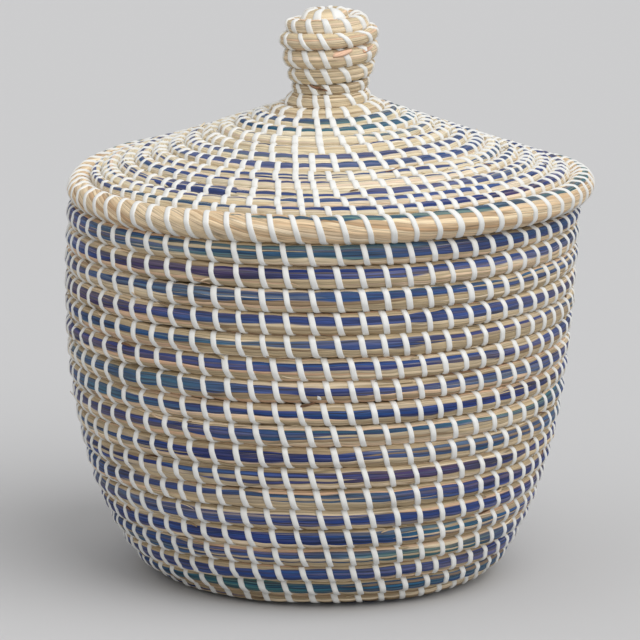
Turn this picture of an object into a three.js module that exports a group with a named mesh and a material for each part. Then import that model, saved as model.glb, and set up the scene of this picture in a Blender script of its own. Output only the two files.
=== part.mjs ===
// A round lidded box of coiled basketry: grass bundles wound in spirals, in millimetres, +Z up
import * as THREE from 'three';

// Body: the line that the outsides of its coils touch, from the floor to the mouth
const mouthRadius = 149.2;
const bodyHeight = 221;
const footRadius = 91;
const flankRadius = 122.2;
const flankHeight = 32.8;
const flankLeanDegrees = 26;
const mouthLeanDegrees = -1.5;
const flankReachShare = 0.24;
const mouthReachShare = 0.47;
const wallDepth = 12.8;
const bodyTurns = 25;
const baseEndTurn = 6.5;
const heelEndTurn = 8.5;
const flankEndTurn = 10.5;
const bellyEndTurn = 16.5;
const bodySway = 2.5;

// Lid: a shallow cone of thinner coil, closed by one thick coil that rests on the mouth
const rimOverhang = 4.3;
const rimRadius = mouthRadius + rimOverhang;
const rimWidth = 14.2;
const rimHeight = 15;
const lidDepth = 10.4;
const lidRise = 43.4;
const coneTurns = 12;
const lidShift = 4.1;

// Locating coil under the lid, which hangs inside the mouth
const locatingPlay = 5;
const locatingDrop = 11;
const locatingDepth = 10;
const locatingTurns = 2;

// Knob: radius and height over the lid's seat at each line between two turns, crown first
const knobRadius = 29.3;
const knobTop = 109.5;
const neckRadius = 24.2;
const knobDepthShare = 0.8;
const knobLineShares = [
  [0, 1],
  [0.4, 0.989],
  [0.86, 0.927],
  [1, 0.825],
  [0.9, 0.718],
  [0.81, 0.633],
  [0.77, 0.58],
];
const knobEndTurn = knobLineShares.length + 0.5;

// Gaps, ends and facets that all coils share
const turnGap = 0.9;
const buttGap = 0.6;
const seatGap = 0.4;
const tailShare = 0.2;
const stepsPerTurn = 18;
const frontAngle = -Math.PI / 2;
const backAngle = Math.PI / 2;

// The lid's last turn starts right of the front, so that it has run out at the back
const lidLastTurnDegrees = -50;

// Coil sections: share of the half depth, outwards first, and of the half thickness
const coilSectionShares = [[1, 0], [0.35, 1], [-1, 0.6], [-1, -0.6], [0.35, -1]];
const knobSectionShares = [[1, 0], [0.3, 0.95], [-1, 0.35], [-1, -0.35], [0.3, -0.95]];
const footSectionShares = [[1, -0.35], [1, 0.35], [0.4, 1], [-1, 0.6], [-1, -0.6], [0.4, -1]];
const rimSectionShares = [
  [1, 0.45], [0.45, 1], [-0.45, 1], [-1, 0.45], [-1, -0.45], [-0.45, -1], [0.45, -1], [1, -0.45],
];

const wholeTurn = 2 * Math.PI;
const quarterTurnShare = 1 / 4;
const stepAngle = wholeTurn / stepsPerTurn;

// Corners lie a little outside the true radius, so that the flat facets stay true to it on average
const facetShare = 2 / (1 + Math.cos(stepAngle / 2));

const grass = { roughness: 0.75, metalness: 0 };
const dyedGrass = new THREE.MeshStandardMaterial({ color: 0x4f5f8e, ...grass });
const lidGrass = new THREE.MeshStandardMaterial({ color: 0x8f8f9c, ...grass });
const plainGrass = new THREE.MeshStandardMaterial({ color: 0xc6a67c, ...grass });

// The outside of a profile is on its right, as it runs, or on its left
const onRight = 1;
const onLeft = -1;

// Seen from above, a coil winds with the angle or against it
const counterClockwise = 1;
const clockwise = -1;

// A profile in the (radius, height) plane whose turns are equally long
function evenLine(curve, turns, outside) {
  return {
    outside,
    pointAt: (turn) => curve.getPointAt(Math.min(turn / turns, 1)),
    directionAt: (turn) => curve.getTangentAt(Math.min(turn / turns, 1)),
  };
}

// A profile whose turns meet at the spline's own points, so that they may differ in thickness
function listedLine(points) {
  const curve = new THREE.SplineCurve(points);
  const turns = points.length - 1;
  return {
    outside: onLeft,
    pointAt: (turn) => curve.getPoint(turn / turns),
    directionAt: (turn) => curve.getTangent(turn / turns),
  };
}

// Where the bundle runs at one turn of its spiral: middle, half sizes and directions in the profile
function placeCoil(line, depth, turn, limit) {
  const outsideOf = (direction) => new THREE.Vector2(direction.y, -direction.x).multiplyScalar(line.outside);
  const wholeDepth = depth ?? knobDepthShare * line.pointAt(turn).distanceTo(line.pointAt(turn + 1));
  const centreAt = (where) => (
    line.pointAt(where).addScaledVector(outsideOf(line.directionAt(where)), -wholeDepth / 2)
  );
  const inner = centreAt(turn);
  const outer = centreAt(Math.min(turn + 1, limit));
  const along = outer.clone().sub(inner).normalize();
  const taper = Math.min(1, Math.sqrt((limit - turn) / (1 - tailShare)));
  return {
    centre: inner.clone().lerp(outer, 1 / 2),
    along,
    outwards: outsideOf(along),
    halfDepth: (wholeDepth / 2) * taper,
    halfThickness: (inner.distanceTo(outer) - turnGap) / 2,
  };
}

// The corners of the section, turned to its angle round the axis
function sectionCorners(place, shares, angle, sway) {
  return shares.map(([depthShare, thicknessShare]) => {
    const flat = place.centre.clone()
      .addScaledVector(place.outwards, depthShare * place.halfDepth)
      .addScaledVector(place.along, thicknessShare * place.halfThickness);
    const radius = flat.x * facetShare;
    return new THREE.Vector3(radius * Math.cos(angle) + sway(flat.y), radius * Math.sin(angle), flat.y);
  });
}

// Closes a row of sections into one solid, with a fan of triangles at each end
function solidFromSections(sections) {
  const sides = sections[0].length;
  const positions = sections.flat().flatMap((corner) => corner.toArray());
  const index = [];
  for (let row = 0; row < sections.length - 1; row += 1) {
    for (let side = 0; side < sides; side += 1) {
      const next = (side + 1) % sides;
      const [a, b, c, d] = [side, next, next + sides, side + sides].map((corner) => corner + row * sides);
      index.push(a, c, b, a, d, c);
    }
  }
  const last = (sections.length - 1) * sides;
  for (let side = 1; side < sides - 1; side += 1) {
    index.push(0, side, side + 1, last, last + side + 1, last + side);
  }
  const geometry = new THREE.BufferGeometry();
  geometry.setAttribute('position', new THREE.Float32BufferAttribute(positions, 3));
  geometry.setIndex(index);
  geometry.computeVertexNormals();
  return geometry;
}

// Least distance between two turns, measured on points along the edges of their sections
function leastTurnGap(sections) {
  const edgeShares = [0, 1 / 4, 1 / 2, 3 / 4];
  const stepsWithin = Math.round(stepsPerTurn / 3);
  const stepsPast = stepsPerTurn + 2;
  const edgePoints = sections.map((corners) => corners.flatMap((corner, side) => {
    const next = corners[(side + 1) % corners.length];
    return edgeShares.map((share) => corner.clone().lerp(next, share));
  }));
  let least = Infinity;
  edgePoints.forEach((points, row) => {
    edgePoints.slice(row + stepsWithin, row + stepsPast).flat().forEach((other) => {
      points.forEach((point) => {
        least = Math.min(least, point.distanceToSquared(other));
      });
    });
  });
  return Math.sqrt(least);
}

// One unbroken coil from its first turn to the turn where it ends
function coilMesh({
  name, material, line, depth, winding = counterClockwise, startAngle, from = 0, to, limitAt,
  shares = coilSectionShares, sway = () => 0,
}) {
  const corners = line.outside * winding === onRight ? shares : shares.toReversed();
  const angleAt = (turn) => startAngle + winding * turn * wholeTurn;
  const limit = limitAt ?? (() => Infinity);
  const sections = [];
  for (let step = 0; step / stepsPerTurn + from < to; step += 1) {
    const turn = from + step / stepsPerTurn;
    if (limit(angleAt(turn)) - turn < tailShare) break;
    const place = placeCoil(line, depth, turn, limit(angleAt(turn)));
    sections.push(sectionCorners(place, corners, angleAt(turn), sway));
  }
  if (limitAt === undefined) {
    const end = placeCoil(line, depth, to, Infinity);
    const endAngle = angleAt(to) - winding * buttGap / end.centre.x;
    sections.push(sectionCorners(end, corners, endAngle, sway));
  }
  console.log(`${name}: least gap between turns ${leastTurnGap(sections).toFixed(2)} mm`);
  const mesh = new THREE.Mesh(solidFromSections(sections), material);
  mesh.name = name;
  return mesh;
}

// The body's outside: flat on the floor, a heel that lifts off it, then the wall up to the mouth
function bodyCurve() {
  const flankLean = THREE.MathUtils.degToRad(flankLeanDegrees);
  const mouthLean = THREE.MathUtils.degToRad(mouthLeanDegrees);
  const flank = new THREE.Vector2(flankRadius, flankHeight);
  const mouth = new THREE.Vector2(mouthRadius, bodyHeight);
  const wallHeight = bodyHeight - flankHeight;
  const up = (lean) => new THREE.Vector2(Math.sin(lean), Math.cos(lean));
  const corner = flank.clone().addScaledVector(up(flankLean), -flankHeight / Math.cos(flankLean));
  const foot = new THREE.Vector2(footRadius, 0);
  const curve = new THREE.CurvePath();
  curve.add(new THREE.LineCurve(new THREE.Vector2(0, 0), foot));
  curve.add(new THREE.QuadraticBezierCurve(foot, corner, flank));
  curve.add(new THREE.CubicBezierCurve(
    flank,
    flank.clone().addScaledVector(up(flankLean), flankReachShare * wallHeight),
    mouth.clone().addScaledVector(up(mouthLean), -mouthReachShare * wallHeight),
    mouth,
  ));
  return curve;
}

// CurvePath has no tangents by length, so the direction is taken between two near points
function pathLine(curve, turns) {
  const nearShare = 0.002;
  const pointAt = (turn) => curve.getPointAt(THREE.MathUtils.clamp(turn / turns, 0, 1));
  const directionAt = (turn) => {
    const share = THREE.MathUtils.clamp(turn / turns, nearShare, 1 - nearShare);
    return curve.getPointAt(share + nearShare).sub(curve.getPointAt(share - nearShare)).normalize();
  };
  return { outside: onRight, pointAt, directionAt };
}

// The spiral rises as it winds, so the mouth that it ends in is higher on the right
const bodyPath = bodyCurve();
const bodyLine = pathLine(bodyPath, bodyTurns);
const bodyPitch = bodyPath.getLength() / bodyTurns;
const mouthTilt = Math.atan(bodyPitch * quarterTurnShare / mouthRadius);
const bodyStartAngle = frontAngle - (bodyTurns - 1) * wholeTurn;
const swayAt = (height) => -bodySway * Math.sin(Math.PI * height / bodyHeight);

// The body's one long coil, from the middle of the base to the mouth, in lengths that meet at the back
const bodySpiral = { line: bodyLine, depth: wallDepth, startAngle: bodyStartAngle, sway: swayAt };
const bodyLengths = [
  { name: 'base_coil', material: plainGrass, to: baseEndTurn, shares: footSectionShares },
  { name: 'heel_coil', material: dyedGrass, from: baseEndTurn, to: heelEndTurn },
  { name: 'flank_coil', material: dyedGrass, from: heelEndTurn, to: flankEndTurn },
  { name: 'belly_coil', material: dyedGrass, from: flankEndTurn, to: bellyEndTurn },
  {
    name: 'wall_coil',
    material: dyedGrass,
    from: bellyEndTurn,
    to: bodyTurns,
    limitAt: (angle) => bodyTurns + quarterTurnShare * Math.cos(angle),
  },
];

// Knob and cone share one line, with heights over the mouth
const rimInnerRadius = rimRadius - rimWidth;
const neck = new THREE.Vector2(neckRadius, rimHeight + lidRise);
const coneFoot = new THREE.Vector2(rimInnerRadius, rimHeight);

function lidLinePoints() {
  const knobPoints = knobLineShares.map(([radiusShare, heightShare]) => (
    new THREE.Vector2(radiusShare * knobRadius, heightShare * knobTop)
  ));
  const conePoints = Array.from({ length: coneTurns + 1 }, (_, turn) => (
    neck.clone().lerp(coneFoot, turn / coneTurns)
  ));
  return [...knobPoints, ...conePoints];
}

const lidLine = listedLine(lidLinePoints());
const lidTurns = knobLineShares.length + coneTurns;
const lidSpiral = {
  line: lidLine,
  winding: clockwise,
  startAngle: THREE.MathUtils.degToRad(lidLastTurnDegrees) + (lidTurns - 1) * wholeTurn,
};

function makeKnob() {
  return coilMesh({
    ...lidSpiral,
    name: 'knob_coil',
    material: plainGrass,
    to: knobEndTurn,
    shares: knobSectionShares,
  });
}

function makeLidCone() {
  return coilMesh({
    ...lidSpiral,
    name: 'lid_coil',
    material: lidGrass,
    depth: lidDepth,
    from: knobEndTurn,
    to: lidTurns,
    limitAt: () => lidTurns,
  });
}

// The thick last round of the lid, one loop whose ends meet at the back
function makeLidRim() {
  const centreRadius = rimRadius - rimWidth / 2;
  const place = {
    centre: new THREE.Vector2(centreRadius, seatGap + rimHeight / 2),
    along: new THREE.Vector2(0, 1),
    outwards: new THREE.Vector2(1, 0),
    halfDepth: rimWidth / 2 - seatGap,
    halfThickness: rimHeight / 2 - seatGap,
  };
  const sections = [];
  for (let step = 0; step <= stepsPerTurn; step += 1) {
    const shortOfEnd = step === stepsPerTurn ? buttGap / centreRadius : 0;
    const angle = backAngle + step * stepAngle - shortOfEnd;
    sections.push(sectionCorners(place, rimSectionShares, angle, () => 0));
  }
  const mesh = new THREE.Mesh(solidFromSections(sections), plainGrass);
  mesh.name = 'lid_rim_coil';
  return mesh;
}

function makeLocatingCoil() {
  const radius = mouthRadius - wallDepth - locatingPlay;
  const coneSlope = lidRise / (rimInnerRadius - neckRadius);
  const underCone = (lidDepth + locatingDepth) / 2;
  const top = rimHeight - underCone + (rimInnerRadius - radius) * coneSlope;
  const curve = new THREE.LineCurve(new THREE.Vector2(radius, -locatingDrop), new THREE.Vector2(radius, top));
  return coilMesh({
    name: 'lid_locating_coil',
    material: plainGrass,
    line: evenLine(curve, locatingTurns, onRight),
    depth: locatingDepth,
    startAngle: backAngle,
    to: locatingTurns,
    limitAt: () => locatingTurns,
  });
}

const body = new THREE.Group();
body.add(...bodyLengths.map((length) => coilMesh({ ...bodySpiral, ...length })));

const lid = new THREE.Group();
lid.add(makeKnob(), makeLidCone(), makeLidRim(), makeLocatingCoil());
lid.position.set(lidShift, 0, bodyHeight);
lid.rotation.y = -mouthTilt;

// The part's origin is on the floor under the middle of its box
const box = new THREE.Group();
box.add(body, lid);
box.position.x = (bodySway - lidShift - rimOverhang) / 2;
box.updateMatrixWorld(true);

export default box;
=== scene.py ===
"""Coiled grass box with a lift-off lid: bundles, sewing strip, loose blades, floor, light and camera."""
import math
from bisect import bisect_left

import bpy
import numpy as np
from mathutils import Matrix, Vector


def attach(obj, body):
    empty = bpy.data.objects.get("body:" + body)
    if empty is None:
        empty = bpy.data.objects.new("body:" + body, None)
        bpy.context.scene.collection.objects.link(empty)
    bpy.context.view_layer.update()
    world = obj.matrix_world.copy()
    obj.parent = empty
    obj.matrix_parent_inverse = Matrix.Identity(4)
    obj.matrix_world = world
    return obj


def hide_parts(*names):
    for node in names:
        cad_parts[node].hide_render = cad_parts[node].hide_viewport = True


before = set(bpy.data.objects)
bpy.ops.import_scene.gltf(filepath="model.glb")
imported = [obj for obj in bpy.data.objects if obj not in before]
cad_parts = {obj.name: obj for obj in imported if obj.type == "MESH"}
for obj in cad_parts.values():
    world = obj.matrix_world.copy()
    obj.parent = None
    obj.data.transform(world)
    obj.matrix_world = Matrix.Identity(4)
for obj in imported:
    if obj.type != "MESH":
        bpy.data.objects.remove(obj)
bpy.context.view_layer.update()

MM = 0.001
WHOLE_TURN = 2 * math.pi
FRONT = -math.pi / 2
BACK = math.pi / 2

# Body outline, as the solids have it
MOUTH_RADIUS = 149.2 * MM
BODY_HEIGHT = 221 * MM
FOOT_RADIUS = 91 * MM
FLANK_RADIUS = 122.2 * MM
FLANK_HEIGHT = 32.8 * MM
FLANK_LEAN = math.radians(26)
MOUTH_LEAN = math.radians(-1.5)
FLANK_REACH_SHARE = 0.24
MOUTH_REACH_SHARE = 0.47
WALL_DEPTH = 12.8 * MM
BODY_TURNS = 25
BODY_END_TURN = BODY_TURNS + 0.04
BODY_SWAY = 2.5 * MM
MOUTH_RISE_SHARE = 1 / 4

# Lid, locating coil and knob, as the solids have them
RIM_OVERHANG = 4.3 * MM
RIM_RADIUS = MOUTH_RADIUS + RIM_OVERHANG
RIM_WIDTH = 14.2 * MM
RIM_HEIGHT = 15 * MM
LID_DEPTH = 10.4 * MM
LID_RISE = 43.4 * MM
CONE_TURNS = 12
LID_SHIFT = 4.1 * MM
CONE_OVERLAP = 1 * MM
LOCATING_PLAY = 5 * MM
LOCATING_DROP = 11 * MM
LOCATING_DEPTH = 10 * MM
LOCATING_TURNS = 2
KNOB_RADIUS = 29.3 * MM
KNOB_TOP = 109.5 * MM
NECK_RADIUS = 24.2 * MM
KNOB_DEPTH_SHARE = 0.9
KNOB_LINE_SHARES = [
    (-0.1, 1.02), (0.52, 1.008), (0.94, 0.934), (1.02, 0.828), (0.92, 0.718), (0.81, 0.633), (0.77, 0.58),
]
KNOB_TURNS = len(KNOB_LINE_SHARES)
KNOB_END_TURN = KNOB_TURNS + 0.5
LID_TURNS = KNOB_TURNS + CONE_TURNS
LID_LAST_TURN_ANGLE = math.radians(-50)
TAIL_SHARE = 0.2
BODY_X = (BODY_SWAY - LID_SHIFT - RIM_OVERHANG) / 2

# Where the knob's thinner bundle starts to change to the cone's, and over how many turns
DEPTH_CHANGE_TURN = KNOB_TURNS - 0.5
DEPTH_CHANGE_TURNS = 1.5

# What only the dressed lid has: its warp and bulge, the rim's reach inwards, and the knob's core
LID_WARP = 6.5 * MM
LID_BULGE = 2.6 * MM
RIM_REACH_IN = 3 * MM
RIM_END_TURN = 1.05
CORE_LINE_SHARES = [(-0.2, 0.93), (-0.1, 1.005), (0.52, 1.008), (0.94, 0.934)]
CORE_FIRST_TURN = 0.35

# Nodes that each unbroken bundle is cut into, and the turns where they end
BODY_NODES = [
    ("base_coil", 6.5), ("heel_coil", 8.5), ("flank_coil", 10.5), ("belly_coil", 16.5), ("wall_coil", None),
]
LID_NODES = [("knob_coil", KNOB_END_TURN), ("lid_coil", None)]
RIM_NODES = [("lid_rim_coil", 1.003)]
LOCATING_NODES = [("lid_locating_coil", None)]

# How many turns a piece of grass and a piece of strip go on for
GRASS_PIECE_TURNS = 2
STRIP_PIECE_TURNS = 4

# How finely outlines, sections and surfaces are made
CURVE_STEPS = 400
LINE_STEPS = 64
SECTION_STEPS = 48
GRASS_STEP = 2 * MM
GRASS_AROUND = 36
LEAST_ROWS = 8
STRIP_STEPS = 30

# Bundle: its skin is a little below the line that the outsides touch, and rounds press together
GRASS_BELOW_LINE = 0.5 * MM
PRESS = 0.04 * MM
LEAST_DEPTH = 0.4 * MM
LEAST_RADIUS = 5 * MM
LEAST_CHORD = 0.01 * MM
LEAST_TAIL_TURN = 0.01
SEAM_SHARE = -0.35

# Unevenness of a bundle: strands that wind round it, the length of their twist and their height in mm
LUMPS = [(1, 260, 0.25), (2, 90, 0.2), (3, 47, 0.16), (5, 170, 0.17), (7, -230, 0.17), (9, 310, 0.14)]

# Way along the grain from one coil's noise to the next one's
GRAIN_GAP = 10

# Strip: its size, how its width varies, and its section from edge to edge
STRIP_WIDTH = 3.85 * MM
STRIP_TOP = 0.95 * MM
STRIP_VARIES_SHARE = 0.07
STRIP_ACROSS_SHARES = np.array([-0.5, -0.43, -0.2, 0.2, 0.43, 0.5])
STRIP_HEIGHT_SHARES = np.array([-0.5, 0.76, 1, 1, 0.76, -0.5])
STRIP_LUMPS_SHARE = 0.5
PINCH_DEPTH = 0.55 * MM
PINCH_REACH = 3 * MM

# Sewing: how evenly a stitch is made, how its slant grows on the way round, and the first one's start
JITTER_SHARE = 0.035
SLANT_POWER = 1.35
FIRST_STITCH_TURN = 0.02

# How far a stitch's spacing may be from the coil's own, and how hard the round before pulls it
FOLLOW_SHARES = (0.04, 0.06)
LID_FOLLOW_SHARES = (0.18, 0.25)

# Seeds of lumps and strip, added to the coil's own
LUMPS_SEED = 100
STRIP_SEED = 50


def in_mm(table):
    """Pairs of turn and millimetres, in the script's units."""
    return [(turn, value * MM) for turn, value in table]


def steady(value):
    """A table that has one value at every turn."""
    return [(0, value), (1, value)]


def read_table(table, turn):
    """A value from pairs of turn and value, straight between them."""
    return np.interp(turn, *zip(*table))


# Way from stitch to stitch and slant of a stitch, by turn
BODY_PITCHES = in_mm([(0, 9.6), (6, 11.4), (10, 12.4), (14, 12.9), (25, 13.1)])
BODY_SLANTS = in_mm([(0, 3.9), (10, 4.2), (25, 4.8)])
LID_PITCHES = in_mm([(0, 5.5), (1.2, 8.5), (3, 11), (6.5, 10.6), (8, 9.2), (13, 9.9), (19, 10.8)])
LID_SLANTS = in_mm([(0, 2.5), (2, 5.6), (4, 6), (5.5, 4.5), (7.5, 2.2), (19, 2.2)])
RIM_PITCHES = steady(13.2 * MM)
RIM_SLANTS = steady(7 * MM)
LOCATING_PITCHES = steady(14 * MM)
LOCATING_SLANTS = steady(4 * MM)

# Drift of the lid's columns of stitches from round to round, and how the rim's grass winds round it
NOTHING = steady(0)
LID_DRIFTS = in_mm([(6, 0), (8, -2.2)])
RIM_TWIST = [(0, 0), (0.45, -0.6), (0.55, -0.9), (0.85, -2.9), (1, -3.3)]


def curve_points(control):
    """Points of a Bezier curve of any degree."""
    share = np.linspace(0, 1, CURVE_STEPS)[:, None]
    points = [np.outer(np.ones(CURVE_STEPS), corner) for corner in control]
    while len(points) > 1:
        points = [a * (1 - share) + b * share for a, b in zip(points, points[1:])]
    return points[0]


def steps_of(points):
    """The way from each point to the next."""
    return np.hypot(*np.diff(points, axis=0).T)


def read_line(where, turns, points):
    """Points of a line at the given turns, straight between its own."""
    return np.stack([np.interp(where, turns, axis) for axis in points.T], axis=1)


def even_line(points, turns):
    """A polyline in the (radius, height) plane, read by turns of equal length."""
    lengths = np.concatenate([[0], np.cumsum(steps_of(points))])
    grid = np.linspace(0, turns, round(turns * LINE_STEPS) + 1)
    return grid, read_line(grid, lengths / lengths[-1] * turns, points)


def listed_line(points):
    """A spline through the places of a bundle's rounds, one place for each turn."""
    points = np.array(points)
    last = len(points) - 1
    grid = np.linspace(0, last, last * LINE_STEPS + 1)
    at = np.minimum(grid.astype(int), last - 1)
    share = (grid - at)[:, None]
    before, start, end, after = (points[np.clip(at + step, 0, last)] for step in (-1, 0, 1, 2))
    leave, arrive = (end - before) / 2, (after - start) / 2
    cubic = 2 * start - 2 * end + leave + arrive
    square = -3 * start + 3 * end - 2 * leave - arrive
    return grid, cubic * share**3 + square * share**2 + leave * share + start


def leaning(lean):
    """A step outwards and up, at an angle from upright."""
    return np.array([math.sin(lean), math.cos(lean)])


def body_points():
    """The body's outside, from the middle of the base to the mouth."""
    foot = np.array([FOOT_RADIUS, 0])
    flank = np.array([FLANK_RADIUS, FLANK_HEIGHT])
    mouth = np.array([MOUTH_RADIUS, BODY_HEIGHT])
    corner = flank - leaning(FLANK_LEAN) * FLANK_HEIGHT / math.cos(FLANK_LEAN)
    wall_height = BODY_HEIGHT - FLANK_HEIGHT
    wall = [
        flank,
        flank + leaning(FLANK_LEAN) * FLANK_REACH_SHARE * wall_height,
        mouth - leaning(MOUTH_LEAN) * MOUTH_REACH_SHARE * wall_height,
        mouth,
    ]
    floor = curve_points([np.zeros(2), foot])
    heel = curve_points([foot, corner, flank])
    return np.concatenate([floor, heel[1:], curve_points(wall)[1:]])


BODY_LINE = even_line(body_points(), BODY_TURNS)
BODY_PITCH = steps_of(body_points()).sum() / BODY_TURNS
MOUTH_TILT = math.atan(BODY_PITCH * MOUTH_RISE_SHARE / MOUTH_RADIUS)


def knob_points(shares):
    """Places of the knob's rounds, from shares of its radius and height."""
    return [(radius * KNOB_RADIUS, height * KNOB_TOP) for radius, height in shares]


def lid_points():
    """Places of the rounds of knob and cone, whose outer rounds bulge."""
    neck = np.array([NECK_RADIUS, RIM_HEIGHT + LID_RISE])
    cone_foot = np.array([RIM_RADIUS - RIM_WIDTH + CONE_OVERLAP, RIM_HEIGHT])
    bulge = np.array([0, LID_BULGE])
    shares = [turn / CONE_TURNS for turn in range(CONE_TURNS + 1)]
    cone = [tuple(neck + (cone_foot - neck) * share + bulge * share**3) for share in shares]
    return knob_points(KNOB_LINE_SHARES) + cone


def waves(along, lengths, seed):
    """Smooth noise between -1 and 1, from waves of the given lengths."""
    phases = np.random.default_rng(seed).uniform(0, WHOLE_TURN, len(lengths))
    total = sum(np.sin(WHOLE_TURN * along / length + phase) for length, phase in zip(lengths, phases))
    return total / len(lengths)


def turned_right(directions):
    """Directions in the (radius, height) plane, a quarter turn further clockwise."""
    return np.stack([directions[:, 1], -directions[:, 0]], axis=1)


class Coil:
    """A bundle wound round the axis, with its section at every turn and its row of stitches."""

    def __init__(self, line, depth, last, start, winding, outside, place, pitches, slants, power, seed,
                 first=0, limit=None, drifts=NOTHING, follow=FOLLOW_SHARES, twist=NOTHING):
        self.start, self.winding, self.place = start, winding, place
        self.pitches, self.slants, self.drifts = pitches, slants, drifts
        self.power, self.seed, self.twist = power, seed, twist
        self.freedom, self.pull = follow
        self.grid = np.linspace(first, last, round((last - first) * SECTION_STEPS) + 1)
        self.read_sections(line, depth, outside, limit)
        radii = (self.centre[1:, 0] + self.centre[:-1, 0]) / 2
        arc = np.hypot(steps_of(self.centre), np.diff(self.grid) * WHOLE_TURN * radii)
        self.length = np.concatenate([[0], np.cumsum(arc)]) + GRAIN_GAP * seed
        self.stitches = self.sew()

    def read_sections(self, line, depth, outside, limit):
        """Middle, directions and half sizes of the section at every turn."""
        turns, points = line
        slope = np.gradient(points, turns, axis=0)
        slope /= np.linalg.norm(slope, axis=1, keepdims=True)
        limits = np.full_like(self.grid, turns[-1]) if limit is None else limit(self.angle(self.grid))
        depths = depth(self.grid, lambda where: read_line(where, turns, points))
        ends = []
        for where in (self.grid, np.minimum(self.grid + 1, limits)):
            outwards = turned_right(read_line(where, turns, slope)) * outside
            ends.append(read_line(where, turns, points) - outwards * depths[:, None] / 2)
        across = ends[1] - ends[0]
        chord = np.maximum(np.linalg.norm(across, axis=1), LEAST_CHORD)
        left_over = np.maximum(limits - self.grid, LEAST_TAIL_TURN)
        taper = np.minimum(1, np.sqrt(left_over / (1 - TAIL_SHARE)))
        self.centre = (ends[0] + ends[1]) / 2
        self.along = across / chord[:, None]
        self.outwards = turned_right(self.along) * outside
        self.half_depth = depths / 2 * taper
        self.half_thickness = chord / 2

    def angle(self, turn):
        return self.start + self.winding * turn * WHOLE_TURN

    def at(self, values, turn):
        return np.interp(turn, self.grid, values)

    def sew(self):
        """Turns where the strip starts a stitch, each drawn to its neighbour in the round before."""
        draw = np.random.default_rng(self.seed)
        turns = [self.grid[0] + FIRST_STITCH_TURN]
        while turns[-1] < self.grid[-1]:
            around = WHOLE_TURN * max(self.at(self.centre[:, 0], turns[-1]), LEAST_RADIUS)
            own = read_table(self.pitches, turns[-1]) / around
            beside = turns[-1] - 1 - read_table(self.drifts, turns[-1]) / around
            near = bisect_left(turns, beside)
            spacing = turns[near] - turns[near - 1] if 0 < near < len(turns) else own
            step = min(max(spacing, (1 - self.freedom) * own), (1 + self.freedom) * own)
            gaps = [turns[k] - beside - step for k in (near - 1, near, near + 1) if 0 <= k < len(turns)]
            off = min(gaps, key=abs) / step
            pull = self.pull * math.sin(WHOLE_TURN * off) if abs(off) < 0.5 else 0
            turns.append(turns[-1] + (1 + pull + draw.normal(0, JITTER_SHARE)) * step)
        return np.array(turns)

    def share(self, turn, around):
        """How far along the way to the next stitch the strip is, on its way round the bundle."""
        around = around % 1
        slant = read_table(self.slants, turn) / read_table(self.pitches, turn)
        outer = slant * (np.minimum(around, 0.5) * 2) ** SLANT_POWER
        inner = (1 - slant) * np.maximum(around - 0.5, 0) * 2
        return outer + inner

    def strip_distance(self, turn, around):
        """Distance along the coil to the middle of the strip."""
        phase = np.interp(turn, self.stitches, np.arange(len(self.stitches))) - self.share(turn, around)
        return np.abs(phase - np.round(phase)) * read_table(self.pitches, turn)

    def lumps(self, turn, around):
        """Unevenness of the bundle: twisted strands and slow swelling."""
        along = self.at(self.length, turn)
        draw = np.random.default_rng(self.seed + LUMPS_SEED)
        total = 0
        for strands, length, height in LUMPS:
            phase = draw.uniform(0, WHOLE_TURN)
            wound = along / (length * MM) + strands * around
            total = total + height * MM * np.sin(WHOLE_TURN * wound + phase)
        return total

    def pinch(self, turn, around):
        """How deep the strip pulls the grass in."""
        return PINCH_DEPTH * np.exp(-((self.strip_distance(turn, around) / PINCH_REACH) ** 2))

    def squarer(self, value):
        """A sine or cosine that makes the section fill its corners a little."""
        return np.sign(value) * np.abs(value) ** (2 / self.power)

    def surface(self, turn, around, lift):
        """Points on the bundle, lift above the line that the outsides of the coils touch."""
        sideways = lift + GRASS_BELOW_LINE + PRESS
        cosine, sine = np.cos(WHOLE_TURN * around), np.sin(WHOLE_TURN * around)
        across = self.squarer(cosine) * (self.at(self.half_thickness, turn) + sideways)
        outward = self.squarer(sine) * np.maximum(self.at(self.half_depth, turn) + lift, LEAST_DEPTH)
        radius, height = (
            self.at(self.centre[:, axis], turn)
            + self.at(self.along[:, axis], turn) * across
            + self.at(self.outwards[:, axis], turn) * outward
            for axis in (0, 1)
        )
        angle = self.angle(turn)
        return self.place(np.stack([radius * np.cos(angle), radius * np.sin(angle), height], axis=-1))


def place_body(points):
    """The body's place, and its sway to the left at half its height."""
    sway = -BODY_SWAY * np.sin(math.pi * np.clip(points[..., 2] / BODY_HEIGHT, 0, 1))
    moved = points.copy()
    moved[..., 0] += sway + BODY_X
    return moved


def place_lid(points):
    """The lid's tilt and place, and the warp of its back, which dips on the right."""
    tilt = np.array(Matrix.Rotation(-MOUTH_TILT, 3, "Y"))
    right, back = points[..., 0], np.maximum(points[..., 1], 0)
    warped = points.copy()
    warped[..., 2] -= LID_WARP * right * back / RIM_RADIUS**2
    return warped @ tilt.T + np.array([LID_SHIFT + BODY_X, 0, BODY_HEIGHT])


def even_depth(depth):
    """A bundle of one depth from end to end."""
    return lambda turns, point_at: np.full_like(turns, depth)


def lid_depth(turns, point_at):
    """The knob's bundle is a share of its rounds' spacing, and the cone's has one depth."""
    spacing = np.linalg.norm(point_at(turns + 1) - point_at(turns), axis=1)
    share = np.clip((turns - DEPTH_CHANGE_TURN) / DEPTH_CHANGE_TURNS, 0, 1)
    return KNOB_DEPTH_SHARE * spacing * (1 - share) + LID_DEPTH * share


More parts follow.
